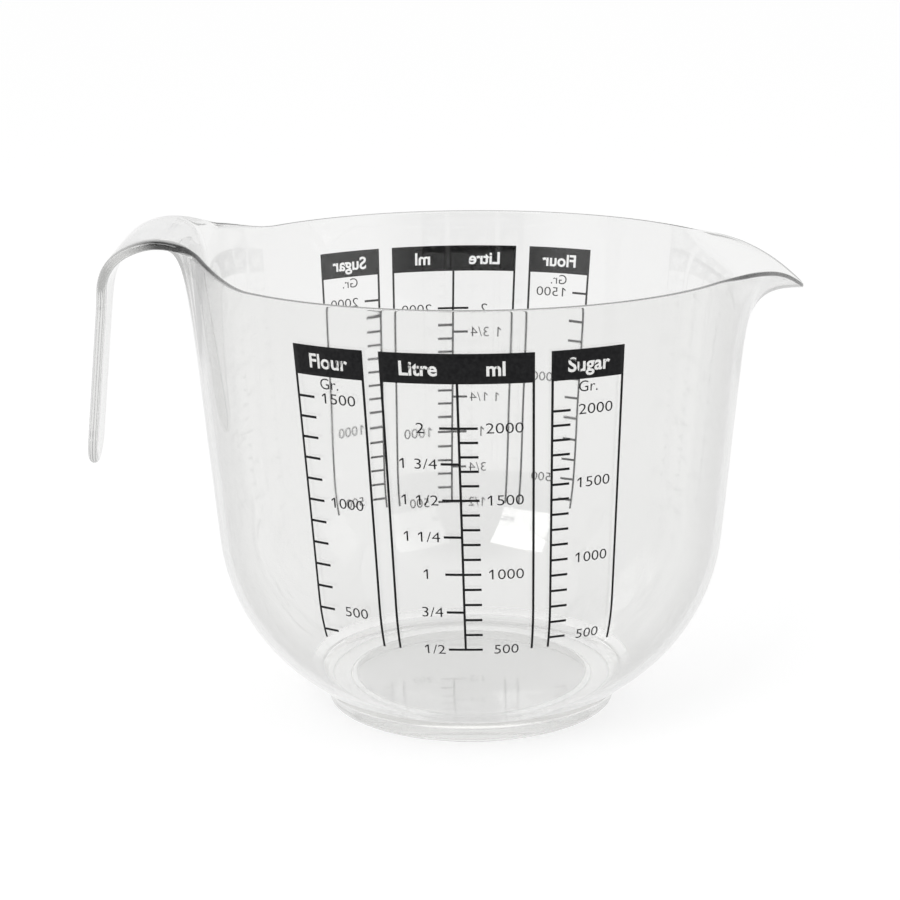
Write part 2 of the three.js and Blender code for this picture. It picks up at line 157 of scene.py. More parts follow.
def jug_section():
    """The jug cut through its axis with a plain rim, as a wire from under the foot round to the floor."""
    BOWL_STEPS = 24
    SMALL_ROUND_STEPS = 4
    RECESS_ROUND = 0.0008
    FOOT_ROUND = 0.001
    CREASE_ROUND = 0.0003
    LEDGE_RISE = 0.0012
    LEDGE_ROUND = 0.001
    FLOOR_ROUND = 0.003
    RIM_ROUND_STEPS = 4
    WALL_ROWS = 8
    RIM_ROWS = 16
    PAINTED_CREASE_SHADE = 0.7
    wire = bmesh.new()
    shade = wire.verts.layers.float.new("edge_shade")
    sweep = CONE_LEAN - WALL_DRAFT
    inner_round = BOWL_ROUND - WALL
    start = wire.verts.new((0, 0, RECESS_DEPTH))
    recess = draw_line(wire, start, recess_radius - RECESS_DEPTH * tan(FOOT_DRAFT), RECESS_DEPTH)
    ring_inside = draw_line(wire, recess, recess_radius, 0)
    ring_outside = draw_line(wire, ring_inside, FOOT_RADIUS, 0)
    crease = draw_line(wire, ring_outside, foot_top, FOOT_HEIGHT)
    ledge_height = FOOT_HEIGHT + LEDGE_RISE
    ledge = draw_line(wire, crease, cone_radius(ledge_height, 0), ledge_height)
    bowl_foot = draw_line(wire, ledge, bowl_x + BOWL_ROUND * cos(CONE_LEAN),
                          bowl_z - BOWL_ROUND * sin(CONE_LEAN))
    bowl_top = draw_bowl(wire, bowl_foot, -sweep, BOWL_STEPS)
    outer_shoulder = draw_line(wire, bowl_top, wall_radius(shoulder, 0), shoulder)
    outer_rim = draw_line(wire, outer_shoulder, wall_radius(RIM_HEIGHT, 0), RIM_HEIGHT)
    inner_rim = draw_line(wire, outer_rim, wall_radius(RIM_HEIGHT, WALL), RIM_HEIGHT)
    inner_shoulder = draw_line(wire, inner_rim, wall_radius(shoulder, WALL), shoulder)
    inner_top = draw_line(wire, inner_shoulder, bowl_x + inner_round * cos(WALL_DRAFT),
                          bowl_z - inner_round * sin(WALL_DRAFT))
    inner_foot = draw_bowl(wire, inner_top, sweep, BOWL_STEPS)
    floor_edge = draw_line(wire, inner_foot, cone_radius(floor_height, WALL), floor_height)
    draw_line(wire, floor_edge, 0, floor_height)
    rim_half = (outer_rim.co - inner_rim.co).length / 2
    bmesh.ops.bevel(wire, geom=[outer_rim, inner_rim], offset=rim_half, offset_type="OFFSET",
                    affect="VERTICES", segments=RIM_ROUND_STEPS, profile=0.5, material=-1)
    round_corner(wire, recess, RECESS_ROUND, SMALL_ROUND_STEPS)
    round_corner(wire, ring_inside, RECESS_ROUND, SMALL_ROUND_STEPS)
    round_corner(wire, ring_outside, FOOT_ROUND, SMALL_ROUND_STEPS)
    # Painted shade: a thin dark line along the crease between the foot and the ledge.
    for vert in round_corner(wire, crease, CREASE_ROUND, SMALL_ROUND_STEPS):
        vert[shade] = PAINTED_CREASE_SHADE
    round_corner(wire, ledge, LEDGE_ROUND, SMALL_ROUND_STEPS)
    round_corner(wire, floor_edge, FLOOR_ROUND, SMALL_ROUND_STEPS)
    sides = [sorted(point.link_edges, key=lambda edge: sum(vert.co.z for vert in edge.verts))
             for point in (outer_shoulder, inner_shoulder)]
    bmesh.ops.subdivide_edges(wire, edges=[below for below, _ in sides], cuts=WALL_ROWS - 1)
    bmesh.ops.subdivide_edges(wire, edges=[above for _, above in sides], cuts=RIM_ROWS - 1)
    bmesh.ops.remove_doubles(wire, verts=wire.verts, dist=SAME_SPOT)
    return wire


# In plan the rim is a circle, drawn out by two nearly straight sides to the round tip of the lip, and by two
# fillets to the straight root of the handle. Angles are from the lip's side, one half of the jug at a time.
rim_circle = wall_radius(RIM_HEIGHT - WALL / 2, WALL / 2)
lip_tip = RIM_RADIUS + LIP_OVERHANG - RIM_EDGE * RIM_EDGE_ROUND / 2
lip_centre = lip_tip - LIP_TIP_RADIUS
lip_turn = acos((rim_circle - LIP_TIP_RADIUS) / lip_centre)
tip_turn = atan2(LIP_TIP_RADIUS * sin(lip_turn), lip_centre + LIP_TIP_RADIUS * cos(lip_turn))
root_half = (STRAP_ROOT_WIDTH - STRAP) / 2
fillet_side = root_half + HANDLE_FILLET
crest = sqrt((rim_circle + HANDLE_FILLET) ** 2 - fillet_side ** 2)
fillet_turn = pi - atan2(fillet_side, crest)
root_turn = pi - atan2(root_half, crest)
edge_height = RIM_HEIGHT - WALL / 2


def lip_side(turn):
    """Rise from 0 to 1 and back along the lip's sides, which are a little fuller and lower than straight."""
    share = (lip_turn - abs(turn)) / (lip_turn - tip_turn)
    return sin(pi * min(1, max(0, share))) ** 2


def rim_reach(turn):
    """Distance from the jug's axis to the middle line of the rim, in plan."""
    turn = abs(turn)
    if turn < tip_turn:
        return lip_centre * cos(turn) + sqrt(LIP_TIP_RADIUS ** 2 - (lip_centre * sin(turn)) ** 2)
    if turn < lip_turn:
        return rim_circle / cos(lip_turn - turn) + LIP_SWELL * lip_side(turn)
    if turn < fillet_turn:
        return rim_circle
    if turn < root_turn - SAME_SPOT:
        far = rim_circle + HANDLE_FILLET
        across = far * sin(turn - fillet_turn)
        return far * cos(turn - fillet_turn) - sqrt(HANDLE_FILLET ** 2 - across ** 2)
    return crest / abs(cos(turn))


def smooth_step(value, low, high):
    """Rise from 0 to 1 between two limits, level at both."""
    share = min(1, max(0, (value - low) / (high - low)))
    return share * share * (3 - 2 * share)


def blend(low, high, share):
    """Value part of the way from one to another."""
    return low + (high - low) * share


def rim_sweep(turn):
    """How far the rim has swept down into the lip, and how far it has climbed to the handle's root."""
    along = rim_reach(turn) * cos(turn)
    dip = max(0, 1 + (along - lip_tip) / LIP_DROP_LENGTH)
    return dip, smooth_step(-along, crest - HANDLE_RISE_LENGTH, crest)


def rim_over(turn):
    """Reach and height of the rim's middle line, the sheet's half thickness there and the bulge of its edge.

    The line dips at the lip and climbs to the handle. The edge is flatter than half round on the plain rim,
    and half round on the handle.
    """
    dip, climb = rim_sweep(turn)
    half = blend(RIM_EDGE, STRAP, climb) / 2
    bulge = half * blend(RIM_EDGE_ROUND, 1, climb)
    height = RIM_HEIGHT - bulge - LIP_DROP * dip ** 2 - LIP_SAG * lip_side(turn) + HANDLE_RISE * climb
    return rim_reach(turn), height, half, bulge


def upright(turn, radius, height):
    """Point at a turn about the jug's axis."""
    return Vector((radius * cos(turn), radius * sin(turn), height))


def rim_point(turn):
    """Point on the rim's middle line."""
    reach, height, _, _ = rim_over(turn)
    return upright(turn, reach, height)


def sheet_section(turn, share):
    """Middle of the wall between shoulder and rim and its run there, bent out to where the rim runs.

    Both are complex numbers in the upright plane through the axis, of radius and height.
    """
    PLAIN_SHARE = 0.85
    FLARED_SHARE = 0.999
    FULL_FLARE = 0.0075
    reach, height, _, _ = rim_over(turn)
    start = complex(wall_radius(shoulder, WALL / 2), shoulder)
    end = complex(reach, height)
    knee = complex(wall_radius(height, WALL / 2), height)
    into_lip = smooth_step(abs(turn), lip_turn, tip_turn)
    leave = blend(start, knee, BEND_TIGHTNESS)
    arrive = blend(end, knee, blend(BEND_TIGHTNESS, LIP_TIGHTNESS, into_lip))
    lines = [blend(start, leave, share), blend(leave, arrive, share), blend(arrive, end, share)]
    middle = blend(blend(lines[0], lines[1], share), blend(lines[1], lines[2], share), share)
    flare = smooth_step(abs(end - knee), 0, FULL_FLARE)
    near = min(share, blend(PLAIN_SHARE, FLARED_SHARE, flare))
    run = blend(blend(leave - start, arrive - leave, near), blend(arrive - leave, end - arrive, near), near)
    return middle, run / abs(run)


def across_wall(straight):
    """Where a point of the plain rim lies: from 1 outside to -1 inside, and how far over the round edge."""
    depth = (wall_radius(straight.z, 0) - hypot(straight.x, straight.y)) * cos(WALL_DRAFT)
    side = min(1, max(-1, 1 - 2 * depth / WALL))
    if straight.z < edge_height + SAME_SPOT:
        return copysign(1, side), 0
    return side, sqrt(1 - side ** 2)


def draw_out(straight):
    """Where a point of the plain rim goes when lip and handle root are drawn out of it.

    The rim's run is taken both ways round the tip, where the two halves of the jug meet, and from the lip's
    side elsewhere, because it turns a corner at the handle's root.
    """
    STEP = 0.001
    TAPER_POWER = 2
    turn = atan2(straight.y, straight.x)
    side, bulge = across_wall(straight)
    share = min(1, (straight.z - shoulder) / (edge_height - shoulder))
    middle, run = sheet_section(turn, share)
    outward = upright(turn, run.imag, -run.real)
    _, _, edge_half, edge_bulge = rim_over(turn)
    after = turn + STEP if turn < tip_turn else turn
    ahead = rim_point(after) - rim_point(turn - STEP)
    over = outward.cross(ahead).normalized() * edge_bulge
    half = blend(WALL / 2, edge_half, 1 - (1 - share) ** TAPER_POWER)
    return upright(turn, middle.real, middle.imag) + outward * side * half + over * bulge


def round_shade(bulge):
    """Share of the painted shade at a place on a round edge, which sets in just over the side of the sheet.
    """
    SETS_IN = 0.15
    FULL = 0.7
    return smooth_step(bulge, SETS_IN, FULL)


def edge_shade(straight):
    """Painted shade on the sheet's round edge, for how dark it is seen into the edge: most where the rim
    sweeps into lip and handle.
    """
    PLAIN_RIM = 0.72
    LIP = 0.97
    LIP_LEAD = 0.12
    HANDLE_START = 0.4
    turn = atan2(straight.y, straight.x)
    dip, climb = rim_sweep(turn)
    lip = smooth_step(abs(turn), lip_turn + LIP_LEAD, lip_turn - LIP_LEAD / 2) * (1 - dip / 2)
    handle = smooth_step(climb, 0, HANDLE_START)
    level = max(blend(PLAIN_RIM, LIP, lip), blend(PLAIN_RIM, 1, handle))
    return level * round_shade(across_wall(straight)[1])


# The strap leaves the rim level, bends over and hangs down, and narrows to a tongue with a round end.
crest_height = RIM_HEIGHT + HANDLE_RISE - STRAP / 2
bend_turn = pi / 2 - HANDLE_LEAN
bend_length = HANDLE_BEND * bend_turn
tongue_half = (STRAP_TONGUE_WIDTH - STRAP) / 2
tongue_start = bend_length + HANDLE_STRAIGHT - STRAP_TONGUE_WIDTH / 2


def strap_point(along, across, lift):
    """Point on the strap, by the way along its middle line, across it and off its middle surface."""
    turn = min(bend_turn, along / HANDLE_BEND)
    drop = max(0, along - bend_length)
    reach = HANDLE_BEND + lift
    return Vector((-crest - reach * sin(turn) - drop * cos(turn), across,
                   crest_height - HANDLE_BEND + reach * cos(turn) - drop * sin(turn)))


def strap_half(along):
    """Half the strap's width between its rounded edges."""
    taper = smooth_step(along, STRAP_TAPER_START, STRAP_TAPER_START + STRAP_TAPER_LENGTH)
    return blend(root_half, tongue_half, taper)


def grow_strap(jug, row, shade):
    """Extrude the handle row by row from the open edge of its root, where row gives each vertex its place,
    and give each vertex its painted shade.
    """
    EDGE_SHADE_LENGTH = 0.013
    PAINTED_STRAP_SHADE = 0.15
    BEND_ROWS = 24
    STRAIGHT_ROWS = 16
    TIP_ROWS = 12
    stops = [bend_length * (step + 1) / BEND_ROWS for step in range(BEND_ROWS)]
    stops += [blend(bend_length, tongue_start, (step + 1) / STRAIGHT_ROWS) for step in range(STRAIGHT_ROWS)]
    rows = [(stop, 0) for stop in stops]
    rows += [(tongue_start, pi / 2 * (step + 1) / TIP_ROWS) for step in range(TIP_ROWS)]
    edges = [edge for edge in jug.edges if edge.is_boundary and all(vert in row for vert in edge.verts)]
    for along, turn in rows:
        grown = bmesh.ops.extrude_edge_only(jug, edges=edges)
        edges = of_kind(bmesh.types.BMEdge, grown["geom"])
        grown_row = {}
        for vert in of_kind(bmesh.types.BMVert, grown["geom"]):
            neighbours = [edge.other_vert(vert) for edge in vert.link_edges]
            grown_row[vert] = next(row[other] for other in neighbours if other in row)
        row = grown_row
        for vert, (share, bulge, lift) in row.items():
            across = share * strap_half(along) + bulge * STRAP / 2
            vert.co = strap_point(along + across * sin(turn), across * cos(turn), lift * STRAP / 2)
            # Painted shade: dark on the round edges near the root, and faint over the whole hanging strap.
            vert[shade] = max(round_shade(bulge) * (1 - smooth_step(along, 0, EDGE_SHADE_LENGTH)),
                              PAINTED_STRAP_SHADE * smooth_step(along, 0, bend_length))


def moulded_jug():
    """The whole moulding: one half spun, drawn out at the rim and grown into the handle, then mirrored."""
    SECTORS = ((tip_turn, 8), (lip_turn, 28), (fillet_turn, 120), (root_turn, 20), (pi, 12))
    jug = jug_section()
    shade = jug.verts.layers.float["edge_shade"]
    ring = jug.verts[:] + jug.edges[:]
    turned = 0
    for turn, steps in SECTORS:
        spun = bmesh.ops.spin(jug, geom=ring, cent=(0, 0, 0), axis=(0, 0, 1), angle=turn - turned,
                              steps=steps, use_duplicate=False)
        ring = spun["geom_last"]
        turned = turn
    bmesh.ops.remove_doubles(jug, verts=jug.verts, dist=SAME_SPOT)
    root = {}
    for vert in jug.verts:
        turn = atan2(abs(vert.co.y), vert.co.x)
        if vert.co.z < edge_height - SAME_SPOT or turn < root_turn - SAME_SPOT:
            continue
        side, bulge = across_wall(vert.co)
        root[vert] = (tan(pi - turn) / tan(pi - root_turn), bulge, -side)
    window = [face for face in jug.faces if all(vert in root for vert in face.verts)]
    for vert in jug.verts:
        if vert.co.z > shoulder + SAME_SPOT:
            # Painted shade on the rim's round edges, darkest at the lip and the handle.
            vert[shade] = edge_shade(vert.co)
            vert.co = draw_out(vert.co)
    bmesh.ops.delete(jug, geom=window, context="FACES")
    grow_strap(jug, {vert: place for vert, place in root.items() if vert.is_valid}, shade)
    bmesh.ops.remove_doubles(jug, verts=jug.verts, dist=SAME_SPOT)
    bmesh.ops.mirror(jug, geom=jug.verts[:] + jug.edges[:] + jug.faces[:], axis="Y", merge_dist=SAME_SPOT)
    bmesh.ops.remove_doubles(jug, verts=jug.verts, dist=SAME_SPOT)
    bmesh.ops.recalc_face_normals(jug, faces=jug.faces)
    bmesh.ops.translate(jug, verts=jug.verts, vec=(jug_axis, 0, 0))
    return jug


def smooth_piece(name, shape):
    """Make an object with smooth faces of a finished bmesh."""
    for face in shape.faces:
        face.smooth = True
    mesh = bpy.data.meshes.new(name)
    shape.to_mesh(mesh)
    shape.free()
    piece = bpy.data.objects.new(name, mesh)
    bpy.context.scene.collection.objects.link(piece)
    return piece


def carry_range(tree, value, given, wanted):
    """Node output that carries a value from a given range over to a wanted one."""
    node = tree.nodes.new("ShaderNodeMapRange")
    for name, limit in zip(("From Min", "From Max", "To Min", "To Max"), (*given, *wanted)):
        node.inputs[name].default_value = limit
    tree.links.new(value, node.inputs["Value"])
    return node.outputs["Result"]


def combine(tree, operation, one, other):
    """Node output worked out of two values, of which the second may be a plain number."""
    node = tree.nodes.new("ShaderNodeMath")
    node.operation = operation
    tree.links.new(one, node.inputs[0])
    if isinstance(other, bpy.types.NodeSocket):
        tree.links.new(other, node.inputs[1])
    else:
        node.inputs[1].default_value = other
    return node.outputs["Value"]


def uneven_group():
    """Node group of soft noise that stays put on its piece, shared by plastic and ink."""
    group = bpy.data.node_groups.new("uneven", "ShaderNodeTree")
    given = group.nodes.new("NodeGroupInput")
    result = group.nodes.new("NodeGroupOutput")
    place = group.nodes.new("ShaderNodeTexCoord")
    noise = group.nodes.new("ShaderNodeTexNoise")
    for name in ("Scale", "Detail"):
        group.interface.new_socket(name, in_out="INPUT", socket_type="NodeSocketFloat")
        group.links.new(given.outputs[name], noise.inputs[name])
    group.interface.new_socket("Noise", in_out="OUTPUT", socket_type="NodeSocketFloat")
    group.links.new(place.outputs["Object"], noise.inputs["Vector"])
    group.links.new(noise.outputs["Fac"], result.inputs["Noise"])
    return group


uneven = uneven_group()


def place_uneven(tree, scale, detail):
    """Node output of the soft noise, at a scale and detail of the material's own."""
    node = tree.nodes.new("ShaderNodeGroup")
    node.node_tree = uneven
    node.inputs["Scale"].default_value = scale
    node.inputs["Detail"].default_value = detail
    return node.outputs["Noise"]


def plastic_tint(tree):
    """Colour of the clear plastic, with painted shade in it: darker at a slant, and darker still where the
    painted shade attribute is set, on the round edges, at the foot's crease and over the hanging strap.

    Light that leaves by the edge is darkened less by the painted shade.
    """
    CLEAR = (0.90, 0.90, 0.895, 1)
    PAINTED_SHADE_COLOUR = (0.004, 0.004, 0.004, 1)
    LEAVING_SHADE = 0.3
    SLANT = (0.5, 0.95)
    SLANT_SHADE = 0.4
    edge = tree.nodes.new("ShaderNodeAttribute")
    edge.attribute_name = "edge_shade"
    face = tree.nodes.new("ShaderNodeNewGeometry")
    inside = carry_range(tree, face.outputs["Backfacing"], (0, 1), (1, LEAVING_SHADE))
    into_edge = combine(tree, "MULTIPLY", edge.outputs["Fac"], inside)
    # Painted shade at a slant, where the sheet is seen edge-on.
    slant = tree.nodes.new("ShaderNodeLayerWeight")
    slanted = carry_range(tree, slant.outputs["Facing"], SLANT, (0, SLANT_SHADE))
    tint = tree.nodes.new("ShaderNodeValToRGB")
    tint.color_ramp.elements[0].color = CLEAR
    tint.color_ramp.elements[1].color = PAINTED_SHADE_COLOUR
    tree.links.new(combine(tree, "MAXIMUM", into_edge, slanted), tint.inputs["Fac"])
    return tint.outputs["Color"]


def trapped_light(tree):
    """Painted glow, an emission that stands in for light mirrored on and on inside the sheet, brighter near
    the pale table.
    """
    TRAPPED_DEPTH = 3.5
    NEAR_TABLE = (0.02, 0.05)
    GLOW = (0.55, 0.3)
    path = tree.nodes.new("ShaderNodeLightPath")
    trapped = combine(tree, "GREATER_THAN", path.outputs["Glossy Depth"], TRAPPED_DEPTH)
    place = tree.nodes.new("ShaderNodeTexCoord")
    height = tree.nodes.new("ShaderNodeSeparateXYZ")
    tree.links.new(place.outputs["Object"], height.inputs["Vector"])
    return combine(tree, "MULTIPLY", trapped, carry_range(tree, height.outputs["Z"], NEAR_TABLE, GLOW))


def clear_plastic():
    """Clear hard plastic: glossy, and faintly uneven from the mould and from handling, with painted shade in
    its colour and a painted glow.
    """
    HANDLING = (0.35, 0.75)
    GLOSS = (0.01, 0.045)
    material = bpy.data.materials.new("clear_plastic")
    material.use_nodes = True
    tree = material.node_tree
    shader = tree.nodes["Principled BSDF"]
    tree.links.new(plastic_tint(tree), shader.inputs["Base Color"])
    shader.inputs["IOR"].default_value = 1.57
    shader.inputs["Transmission Weight"].default_value = 1
    ripple = tree.nodes.new("ShaderNodeBump")
    ripple.inputs["Strength"].default_value = 1
    ripple.inputs["Distance"].default_value = 0.00002
    tree.links.new(place_uneven(tree, scale=45, detail=1), ripple.inputs["Height"])
    tree.links.new(ripple.outputs["Normal"], shader.inputs["Normal"])
    handling = place_uneven(tree, scale=70, detail=4)
    tree.links.new(carry_range(tree, handling, HANDLING, GLOSS), shader.inputs["Roughness"])
    depth = tree.nodes.new("ShaderNodeVolumeAbsorption")
    depth.inputs["Color"].default_value = (0.82, 0.82, 0.81, 1)
    depth.inputs["Density"].default_value = 20
    tree.links.new(depth.outputs["Volume"], tree.nodes["Material Output"].inputs["Volume"])
    tree.links.new(trapped_light(tree), shader.inputs["Emission Color"])
    shader.inputs["Emission Strength"].default_value = 1
    return material


jug_piece = smooth_piece("moulded_jug", moulded_jug())
jug_piece.modifiers.new("even_shading", "WEIGHTED_NORMAL")
jug_piece.data.materials.append(clear_plastic())
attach(jug_piece, "root")
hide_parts("jug_body")

# The scales are black ink, screen printed on the outside of the wall: three on the front and the same three
# on the back. Each has a solid bar with its word left clear, thin rails below the bar, marks at the heights
# that true amounts reach inside the bowl, and numbers beside some of the marks.
INK_OVER = 0.00005
INK_UNDER = 0.00003
LINE = 0.00075
TICK = 0.0053
HEADER_DROP = 0.0127
HEADER_HEIGHT = 0.0091
MIDDLE_PANEL = radians(29.1)
SIDE_PANEL = radians(14.9)
PANEL_SPACING = radians(3.15)
PRINT_LEAN = radians(1.3)
PRINT_CENTRES = {"front": radians(267), "back": radians(93)}
FLOUR_DENSITY = 0.685
FLOUR_START = -33
SUGAR_DENSITY = 0.973
SUGAR_START = 42
CAP_SHARE = 0.69
WORD_SIZE = 0.0060
WORD_WEIGHT = 0.00016
NUMBER_SIZE = 0.0046
NUMBER_WEIGHT = -0.00003
NUMBER_STRETCH = 1.26
UNIT_SIZE = 0.0048
UNIT_DROP = 0.0022
WEIGHT_NUMBERS = 0.0142
VOLUME_NUMBERS = 0.0136
LITRE_NUMBERS = -0.0114
LITRE_FRACTIONS = -0.0066
MILLIMETRE = 0.001
MILLILITRE = 1e-6
# Least and most amount on each scale and the step between its marks, in millilitres and grams
LITRE_RANGE = (500, 2000, 250)
MILLILITRE_RANGE = (500, 2000, 100)
FLOUR_RANGE = (400, 1500, 100)
SUGAR_RANGE = (500, 2000, 100)
NUMBERED_STEP = 500


def fill_height(millilitres):
    """Height to which an amount fills the bowl, from thin slices of its inside."""
    SLICE = 0.0002
    height = floor_height
    missing = millilitres * MILLILITRE
    while missing > 0:
        slice_volume = pi * bowl_radius(height + SLICE / 2, WALL) ** 2 * SLICE
        height += SLICE * min(1, missing / slice_volume)
        missing -= slice_volume
    return height


header_top = RIM_HEIGHT - HEADER_DROP
header_foot = header_top - HEADER_HEIGHT
print_radius = wall_radius(header_foot, 0)
print_foot = fill_height(LITRE_RANGE[0]) - LINE / 2


def mark_heights(amounts, density=1, start=0):
    """Heights of the marks for a range of amounts, as far as they fit under the bar."""
    least, most, step = amounts
    heights = {amount: fill_height(start + amount / density) for amount in range(least, most + 1, step)}
    return {amount: height for amount, height in heights.items()
            if print_foot < height < header_foot - LINE}


def flat_writing(body, size, weight, align="CENTER"):
    """Writing as a flat curve object, drawn in millimetres with its capitals centred on the line."""
    writing = bpy.data.curves.new("writing", "FONT")
    writing.body = body
    writing.size = size / MILLIMETRE
    writing.offset = weight / MILLIMETRE
    writing.align_x = align
    writing.offset_y = -CAP_SHARE * size / MILLIMETRE / 2
    writing.resolution_u = 4
    holder = bpy.data.objects.new("writing", writing)
    bpy.context.scene.collection.objects.link(holder)
    return holder


def place_flat(holder, across, height, stretch=1):
    """Shape of a flat curve at its place on the print, widened if need be, with the curve cleared away."""
    mesh = bpy.data.meshes.new_from_object(holder.evaluated_get(bpy.context.evaluated_depsgraph_get()))
    shape = bmesh.new()
    shape.from_mesh(mesh)
    size = Matrix.Diagonal((MILLIMETRE * stretch, MILLIMETRE, MILLIMETRE, 1))
    shape.transform(Matrix.Translation((across, height, 0)) @ size)
    bpy.data.meshes.remove(mesh)
    bpy.data.curves.remove(holder.data)
    return shape


def put_flat(film, shape):
    """Put a flat shape into the flat film of a scale."""
    mesh = bpy.data.meshes.new("flat")
    shape.to_mesh(mesh)
    shape.free()
    film.from_mesh(mesh)
    bpy.data.meshes.remove(mesh)


def put_header(film, left, right, words):
    """A solid bar with words left clear at their places across it."""
    bar = bmesh.new()
    for word, across in words:
        holder = flat_writing(word, WORD_SIZE, WORD_WEIGHT)
        put_flat(bar, place_flat(holder, across, (header_top + header_foot) / 2))
    inside = [edge for edge in bar.edges if not edge.is_boundary]
    bmesh.ops.delete(bar, geom=bar.faces[:], context="FACES_ONLY")
    bmesh.ops.delete(bar, geom=inside, context="EDGES")
    places = ((left, header_foot), (right, header_foot), (right, header_top), (left, header_top))
    corners = [bar.verts.new((across, height, 0)) for across, height in places]
    for index, corner in enumerate(corners):
        bar.edges.new((corners[index - 1], corner))
    bmesh.ops.triangle_fill(bar, use_beauty=True, edges=bar.edges[:], normal=(0, 0, 1))
    put_flat(film, bar)


def cut_flat(shape, across, heights):
    """Cut a flat shape along upright lines at places across it, and along level lines at heights."""
    cuts = [((place, 0, 0), (1, 0, 0)) for place in across]
    cuts += [((0, height, 0), (0, 1, 0)) for height in heights]
    for spot, normal in cuts:
        bmesh.ops.bisect_plane(shape, geom=shape.verts[:] + shape.edges[:] + shape.faces[:], dist=SAME_SPOT,
                               plane_co=spot, plane_no=normal)


def put_lines(film, fields):
    """Rails and marks: a flat sheet cut along every border, with the bare cells taken out."""
    left = min(field[0] for field in fields)
    right = max(field[1] for field in fields)
    sheet = bmesh.new()
    bmesh.ops.create_grid(sheet, x_segments=1, y_segments=1, size=0.5)
    bmesh.ops.scale(sheet, verts=sheet.verts, vec=(right - left, header_foot - print_foot, 1))
    bmesh.ops.translate(sheet, verts=sheet.verts,
                        vec=((left + right) / 2, (header_foot + print_foot) / 2, 0))
    cut_flat(sheet, [side for field in fields for side in field[:2]],
             [level for field in fields for level in field[2:]])

    def inked(face):
        middle = face.calc_center_median()
        return any(x0 < middle.x < x1 and y0 < middle.y < y1 for x0, x1, y0, y1 in fields)

    bmesh.ops.delete(sheet, geom=[face for face in sheet.faces if not inked(face)], context="FACES")
    put_flat(film, sheet)


def rail(left):
    """Field of a thin upright rail below the bar."""
    return left, left + LINE, print_foot, header_foot


def ticks(left, heights):
    """Fields of the marks beside a rail."""
    return [(left, left + TICK, height - LINE / 2, height + LINE / 2) for height in heights]


def flag_ones(number):
    """Give the bare stroke that the font draws for a one its flag at the top."""
    FLAG_REACH = 0.00085
    FLAG_DROP = 0.00065
    FLAG_WEIGHT = 0.0005
    stems = [edge for edge in number.edges if abs(edge.verts[0].co.x - edge.verts[1].co.x) < SAME_SPOT
             and edge.calc_length() > NUMBER_SIZE / 2]
    for stem in stems:
        top = max((vert.co for vert in stem.verts), key=lambda place: place.y)
        if stem.link_faces[0].calc_center_median().x < top.x:
            continue
        tip = top - Vector((FLAG_REACH, FLAG_DROP, 0))
        thick = Vector((0, FLAG_WEIGHT, 0))
        number.faces.new([number.verts.new(place) for place in (top, tip, tip - thick, top - thick)])


def put_number(film, body, across, height, align="CENTER"):
    """A number beside a mark."""
    holder = flat_writing(body, NUMBER_SIZE, NUMBER_WEIGHT, align)
    number = place_flat(holder, across, height, NUMBER_STRETCH)
    flag_ones(number)
    put_flat(film, number)


def numbered(marks):
    """Amounts and heights of the marks that have a number."""
    return [(amount, height) for amount, height in marks.items() if amount % NUMBERED_STEP == 0]


def weight_scale(word, left, marks):
    """Flat film of a weight scale, whose marks stand on its left rail."""
    film = bmesh.new()
    right = left + SIDE_PANEL * print_radius
    put_header(film, left, right, [(word, (left + right) / 2)])
    put_lines(film, [rail(left), rail(right - LINE), *ticks(left + LINE, marks.values())])
    unit = flat_writing("Gr.", UNIT_SIZE, NUMBER_WEIGHT)
    put_flat(film, place_flat(unit, (left + right) / 2, header_foot - UNIT_DROP))
    for amount, height in numbered(marks):
        put_number(film, str(amount), left + WEIGHT_NUMBERS, height)
    return film


def volume_scale():
    """Flat film of the volume scale: litres on the left of its middle rail, millilitres on the right."""
    film = bmesh.new()
    half = MIDDLE_PANEL * print_radius / 2
    litres = mark_heights(LITRE_RANGE)
    millilitres = mark_heights(MILLILITRE_RANGE)
    put_header(film, -half, half, [("Litre", -half / 2), ("ml", half / 2)])
    put_lines(film, [rail(-half), rail(-LINE / 2), rail(half - LINE),
                     *ticks(-LINE / 2 - TICK, litres.values()), *ticks(LINE / 2, millilitres.values())])
    for amount, body in ((2000, "2"), (1000, "1")):
        put_number(film, body, LITRE_NUMBERS, litres[amount])
    for amount, body in ((1750, "1 3/4"), (1500, "1 1/2"), (1250, "1 1/4"), (750, "3/4"), (500, "1/2")):
        put_number(film, body, LITRE_FRACTIONS, litres[amount], "RIGHT")
    for amount, height in numbered(millilitres):
        put_number(film, str(amount), VOLUME_NUMBERS, height)
    return film


def lay_on_wall(film, centre):
    """Cut a flat film into narrow strips, give it its thickness and bend it on to the wall."""
    STRIP = 0.0018
    left = min(vert.co.x for vert in film.verts)
    right = max(vert.co.x for vert in film.verts)
    foot = min(vert.co.y for vert in film.verts)
    bowl_top = bowl_z - BOWL_ROUND * sin(WALL_DRAFT)
    strips = ceil((right - left) / STRIP)
    bands = ceil((bowl_top - foot) / STRIP)
    cut_flat(film, [left + STRIP * step for step in range(1, strips)],
             [bowl_top - STRIP * step for step in range(bands)])
    bmesh.ops.dissolve_degenerate(film, dist=SAME_SPOT, edges=film.edges[:])
    lifted = bmesh.ops.extrude_face_region(film, geom=film.faces[:], use_keep_orig=True)
    bmesh.ops.translate(film, verts=of_kind(bmesh.types.BMVert, lifted["geom"]),
                        vec=(0, 0, INK_OVER + INK_UNDER))
    for vert in film.verts:
        across, height, lift = vert.co
        leaned = across + (header_foot - height) * tan(PRINT_LEAN)
        vert.co = upright(centre + leaned / print_radius, bowl_radius(height, 0) + lift - INK_UNDER, height)
    bmesh.ops.recalc_face_normals(film, faces=film.faces)
    bmesh.ops.translate(film, verts=film.verts, vec=(jug_axis, 0, 0))
    return film


